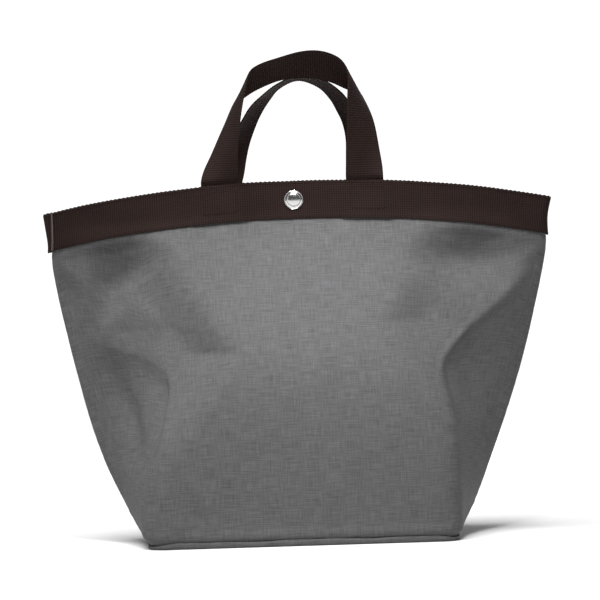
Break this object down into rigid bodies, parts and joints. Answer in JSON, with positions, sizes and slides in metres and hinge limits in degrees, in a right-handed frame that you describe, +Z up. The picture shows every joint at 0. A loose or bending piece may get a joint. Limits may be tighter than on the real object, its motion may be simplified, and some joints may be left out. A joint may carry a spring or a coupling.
{
  "type": "tote bag",
  "caption": "Soft boat-shaped canvas tote bag with a webbing band round its snapped mouth and two upright webbing carry handles.",
  "frame": {"origin": "centre of the base where it stands on the ground", "axes": "+X to the right along the mouth, -Y towards the front, +Z up"},
  "size_m": [0.5164, 0.202, 0.49],
  "materials": {
    "canvas": "coated plain-weave canvas, matt with a faint sheen",
    "webbing": "ribbed nylon webbing, satin",
    "tape": "woven binding tape, matt",
    "nickel": "polished nickel plate"
  },
  "bodies": {
    "bag": {"front_panel_left": "canvas", "front_panel_right": "canvas", "back_panel_left": "canvas", "back_panel_right": "canvas", "base_panel": "canvas", "base_lining": "canvas", "base_seam_binding": "tape", "side_seam_binding_left": "tape", "side_seam_binding_right": "tape", "band_corner_left": "webbing", "band_corner_right": "webbing", "band_overlap": "webbing", "facing_left": "tape", "facing_right": "tape"},
    "front_wall": {"front_panel": "canvas", "front_band": "webbing", "front_facing": "tape", "front_handle_foot_left": "webbing", "front_handle_foot_right": "webbing", "snap_cap": "nickel", "snap_socket": "nickel"},
    "back_wall": {"back_panel": "canvas", "back_band": "webbing", "back_facing": "tape", "back_handle_foot_left": "webbing", "back_handle_foot_right": "webbing", "snap_stud": "nickel", "snap_back_cap": "nickel"},
    "front_loop": {"front_handle": "webbing"},
    "back_loop": {"back_handle": "webbing"}
  },
  "joints": [
    {"name": "mouth_front", "type": "hinge", "parent": "bag", "child": "front_wall", "pos_m": [0, -0.1, 0.0075], "axis": [1, 0, 0], "range_deg": [0, 10]},
    {"name": "mouth_back", "type": "hinge", "parent": "bag", "child": "back_wall", "pos_m": [0, 0.1, 0.0075], "axis": [-1, 0, 0], "range_deg": [0, 10]},
    {"name": "front_handle_swing", "type": "hinge", "parent": "front_wall", "child": "front_loop", "pos_m": [0, -0.0125, 0.3575], "axis": [1, 0, 0], "range_deg": [0, 130]},
    {"name": "back_handle_swing", "type": "hinge", "parent": "back_wall", "child": "back_loop", "pos_m": [0, 0.0125, 0.3575], "axis": [-1, 0, 0], "range_deg": [0, 130]}
  ]
}
